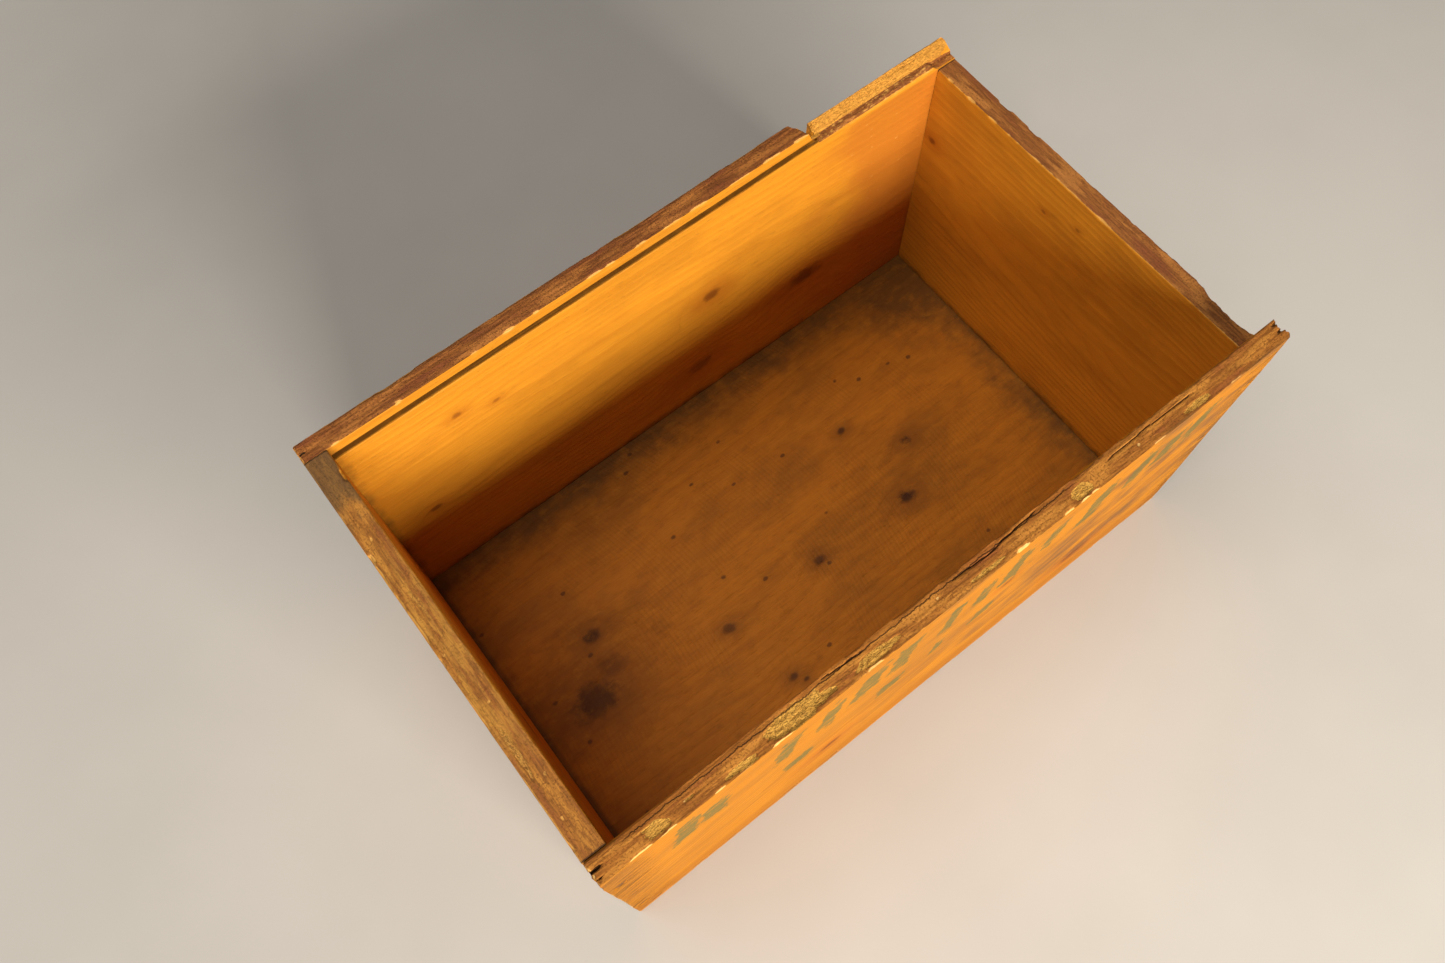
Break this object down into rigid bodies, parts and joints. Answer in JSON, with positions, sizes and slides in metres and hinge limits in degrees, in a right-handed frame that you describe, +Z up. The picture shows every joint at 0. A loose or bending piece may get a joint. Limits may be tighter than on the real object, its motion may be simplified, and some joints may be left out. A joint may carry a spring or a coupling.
{
  "type": "wooden crate",
  "caption": "Small old pine crate of nailed boards, open on top, with grooves under its rim and a lower end for a sliding lid that is lost.",
  "frame": {"origin": "middle of the underside, on the surface that the crate stands on", "axes": "+X along the length towards the lower end where the lid slid in, +Y across to the long side with the split rim, +Z up"},
  "size_m": [0.34, 0.206, 0.174],
  "materials": {
    "pine_side": "old waxed pine, worn, browned rim",
    "pine_end": "old waxed pine, worn, browned rim",
    "pine_bottom": "dull dirty pine with knots",
    "nail_iron": "dull, lightly rusted"
  },
  "bodies": {
    "root": {"near_side_board": "pine_side", "far_side_board": "pine_side", "left_end_board": "pine_end", "right_end_board": "pine_end", "bottom_board": "pine_bottom", "corner_nails_near_left": "nail_iron", "corner_nails_far_left": "nail_iron", "corner_nails_near_right": "nail_iron", "corner_nails_far_right": "nail_iron", "bottom_nails_near": "nail_iron", "bottom_nails_far": "nail_iron", "bottom_nails_left": "nail_iron", "bottom_nails_right": "nail_iron"}
  },
  "joints": []
}
